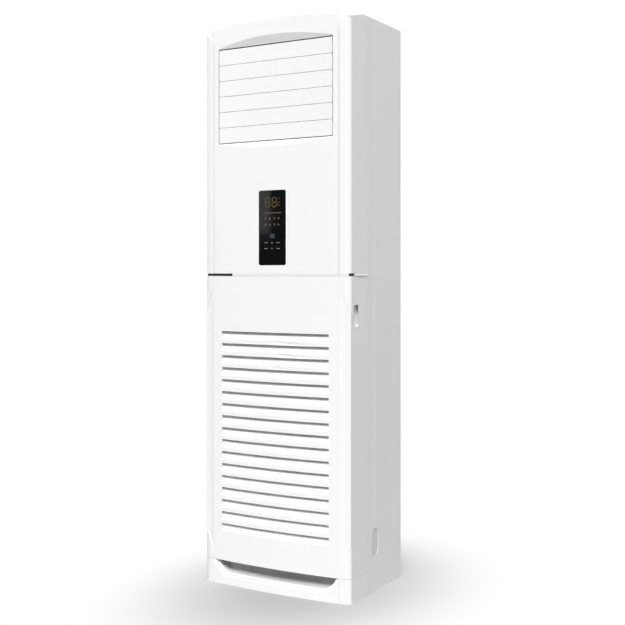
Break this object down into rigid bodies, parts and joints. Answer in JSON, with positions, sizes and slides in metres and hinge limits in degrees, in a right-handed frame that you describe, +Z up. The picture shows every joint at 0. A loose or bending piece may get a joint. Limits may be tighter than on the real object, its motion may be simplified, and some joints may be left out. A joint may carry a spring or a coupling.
{
  "type": "floor standing air conditioner",
  "caption": "Tall floor standing air conditioner cabinet with a louvred inlet below, a black display panel and a louvred outlet at the top.",
  "frame": {"origin": "on the floor under the middle of the cabinet's box", "axes": "+X to the right of a viewer who faces the front, -Y out of the front, +Z up"},
  "size_m": [0.5452, 0.3693, 1.808],
  "materials": {
    "white_plastic": "satin moulded",
    "painted_steel": "powder coat",
    "black_gloss": "polished",
    "grey_plastic": "moulded",
    "black_plastic": "moulded",
    "filter_net": "woven",
    "foam": "beaded foam",
    "circuit_board": "laminate",
    "fin_aluminium": "mill",
    "copper": "drawn tube",
    "galvanised_steel": "galvanised",
    "zinc_steel": "zinc plated",
    "motor_paint": "enamel",
    "black_rubber": "moulded"
  },
  "bodies": {
    "cabinet": {"base_pan": "painted_steel", "bell_mouth": "galvanised_steel", "blower_motor": "motor_paint", "cabinet_screws": "zinc_steel", "coil_cover": "galvanised_steel", "control_board": "circuit_board", "display_board": "circuit_board", "display_lens": "black_gloss", "drain_pan": "galvanised_steel", "drain_pipe": "grey_plastic", "electric_box": "galvanised_steel", "electric_box_cover": "galvanised_steel", "evaporator_end_plates": "galvanised_steel", "evaporator_fins": "fin_aluminium", "evaporator_tubes": "copper", "foam_liner": "foam", "louvre_motor": "zinc_steel", "motor_mount": "galvanised_steel", "outlet_duct": "grey_plastic", "panel_catches": "black_plastic", "partition_plate": "galvanised_steel", "pipe_hole_covers": "painted_steel", "plinth_cover": "white_plastic", "rear_panel": "galvanised_steel", "rear_rings": "black_rubber", "refrigerant_pipes": "copper", "scroll_casing": "galvanised_steel", "seam_strip": "white_plastic", "side_panel_left": "painted_steel", "side_panel_right": "painted_steel", "swing_motor": "zinc_steel", "terminal_block": "black_plastic", "top_cover": "painted_steel", "upper_front_panel": "white_plastic", "wall_bracket": "galvanised_steel"},
    "lower_panel": {"lower_front_panel": "white_plastic"},
    "filter": {"filter_frame": "grey_plastic", "filter_mesh": "filter_net"},
    "blower": {"blower_wheel": "black_plastic", "motor_shaft": "zinc_steel"},
    "key_lower_left": {"key_lower_left": "black_gloss"},
    "key_down": {"key_down": "black_gloss"},
    "key_lower_right": {"key_lower_right": "black_gloss"},
    "key_upper_left": {"key_upper_left": "black_gloss"},
    "key_up": {"key_up": "black_gloss"},
    "key_upper_right": {"key_upper_right": "black_gloss"},
    "louvre_1": {"louvre_blade_1": "white_plastic"},
    "louvre_2": {"louvre_blade_2": "white_plastic"},
    "louvre_3": {"louvre_blade_3": "white_plastic"},
    "louvre_4": {"louvre_blade_4": "white_plastic"},
    "louvre_5": {"louvre_blade_5": "white_plastic"},
    "louvre_6": {"louvre_blade_6": "white_plastic"},
    "louvre_link": {"louvre_link_bar": "white_plastic"},
    "vane_1": {"air_vane_1": "grey_plastic"},
    "vane_2": {"air_vane_2": "grey_plastic"},
    "vane_3": {"air_vane_3": "grey_plastic"},
    "vane_4": {"air_vane_4": "grey_plastic"},
    "vane_5": {"air_vane_5": "grey_plastic"},
    "vane_6": {"air_vane_6": "grey_plastic"},
    "vane_rod": {"vane_tie_rod": "grey_plastic"}
  },
  "joints": [
    {"name": "lower_panel_slide", "type": "slide", "parent": "cabinet", "child": "lower_panel", "axis": [0, -1, 0], "range_m": [0, 0.15]},
    {"name": "filter_lift", "type": "slide", "parent": "lower_panel", "child": "filter", "axis": [0, 0, 1], "range_m": [0, 0.012]},
    {"name": "blower_spin", "type": "hinge", "parent": "cabinet", "child": "blower", "pos_m": [0.008, 0, 0.405], "axis": [0, 1, 0], "continuous": true},
    {"name": "key_lower_left_press", "type": "slide", "parent": "cabinet", "child": "key_lower_left", "axis": [0, 1, 0], "range_m": [0, 0.0006], "stiffness_N_per_m": 2000},
    {"name": "key_down_press", "type": "slide", "parent": "cabinet", "child": "key_down", "axis": [0, 1, 0], "range_m": [0, 0.0006], "stiffness_N_per_m": 2000},
    {"name": "key_lower_right_press", "type": "slide", "parent": "cabinet", "child": "key_lower_right", "axis": [0, 1, 0], "range_m": [0, 0.0006], "stiffness_N_per_m": 2000},
    {"name": "key_upper_left_press", "type": "slide", "parent": "cabinet", "child": "key_upper_left", "axis": [0, 1, 0], "range_m": [0, 0.0006], "stiffness_N_per_m": 2000},
    {"name": "key_up_press", "type": "slide", "parent": "cabinet", "child": "key_up", "axis": [0, 1, 0], "range_m": [0, 0.0006], "stiffness_N_per_m": 2000},
    {"name": "key_upper_right_press", "type": "slide", "parent": "cabinet", "child": "key_upper_right", "axis": [0, 1, 0], "range_m": [0, 0.0006], "stiffness_N_per_m": 2000},
    {"name": "louvre_1_pivot", "type": "hinge", "parent": "cabinet", "child": "louvre_1", "pos_m": [0, -0.162, 1.45225], "axis": [-1, 0, 0], "range_deg": [0, 80]},
    {"name": "louvre_2_pivot", "type": "hinge", "parent": "cabinet", "child": "louvre_2", "pos_m": [0, -0.162, 1.50275], "axis": [-1, 0, 0], "range_deg": [0, 80]},
    {"name": "louvre_3_pivot", "type": "hinge", "parent": "cabinet", "child": "louvre_3", "pos_m": [0, -0.162, 1.55325], "axis": [-1, 0, 0], "range_deg": [0, 80]},
    {"name": "louvre_4_pivot", "type": "hinge", "parent": "cabinet", "child": "louvre_4", "pos_m": [0, -0.162, 1.60375], "axis": [-1, 0, 0], "range_deg": [0, 80]},
    {"name": "louvre_5_pivot", "type": "hinge", "parent": "cabinet", "child": "louvre_5", "pos_m": [0, -0.162, 1.65425], "axis": [-1, 0, 0], "range_deg": [0, 80]},
    {"name": "louvre_6_pivot", "type": "hinge", "parent": "cabinet", "child": "louvre_6", "pos_m": [0, -0.162, 1.70475], "axis": [-1, 0, 0], "range_deg": [0, 80]},
    {"name": "louvre_link_pivot", "type": "hinge", "parent": "louvre_1", "child": "louvre_link", "pos_m": [-0.2145, -0.14974, 1.46253], "axis": [-1, 0, 0], "range_deg": [-80, 0]},
    {"name": "vane_1_pivot", "type": "hinge", "parent": "cabinet", "child": "vane_1", "pos_m": [-0.15, -0.097, 1.58], "axis": [0, 0, 1], "range_deg": [-35, 35]},
    {"name": "vane_2_pivot", "type": "hinge", "parent": "cabinet", "child": "vane_2", "pos_m": [-0.09, -0.097, 1.58], "axis": [0, 0, 1], "range_deg": [-35, 35]},
    {"name": "vane_3_pivot", "type": "hinge", "parent": "cabinet", "child": "vane_3", "pos_m": [-0.03, -0.097, 1.58], "axis": [0, 0, 1], "range_deg": [-35, 35]},
    {"name": "vane_4_pivot", "type": "hinge", "parent": "cabinet", "child": "vane_4", "pos_m": [0.03, -0.097, 1.58], "axis": [0, 0, 1], "range_deg": [-35, 35]},
    {"name": "vane_5_pivot", "type": "hinge", "parent": "cabinet", "child": "vane_5", "pos_m": [0.09, -0.097, 1.58], "axis": [0, 0, 1], "range_deg": [-35, 35]},
    {"name": "vane_6_pivot", "type": "hinge", "parent": "cabinet", "child": "vane_6", "pos_m": [0.15, -0.097, 1.58], "axis": [0, 0, 1], "range_deg": [-35, 35]},
    {"name": "vane_rod_pivot", "type": "hinge", "parent": "vane_1", "child": "vane_rod", "pos_m": [-0.15, -0.061, 1.5773], "axis": [0, 0, 1], "range_deg": [-35, 35]}
  ],
  "couplings": [
    {"joint": "louvre_2_pivot", "follows": "louvre_1_pivot", "ratio": 1},
    {"joint": "louvre_3_pivot", "follows": "louvre_1_pivot", "ratio": 1},
    {"joint": "louvre_4_pivot", "follows": "louvre_1_pivot", "ratio": 1},
    {"joint": "louvre_5_pivot", "follows": "louvre_1_pivot", "ratio": 1},
    {"joint": "louvre_6_pivot", "follows": "louvre_1_pivot", "ratio": 1},
    {"joint": "louvre_link_pivot", "follows": "louvre_1_pivot", "ratio": -1},
    {"joint": "vane_2_pivot", "follows": "vane_1_pivot", "ratio": 1},
    {"joint": "vane_3_pivot", "follows": "vane_1_pivot", "ratio": 1},
    {"joint": "vane_4_pivot", "follows": "vane_1_pivot", "ratio": 1},
    {"joint": "vane_5_pivot", "follows": "vane_1_pivot", "ratio": 1},
    {"joint": "vane_6_pivot", "follows": "vane_1_pivot", "ratio": 1},
    {"joint": "vane_rod_pivot", "follows": "vane_1_pivot", "ratio": -1}
  ]
}
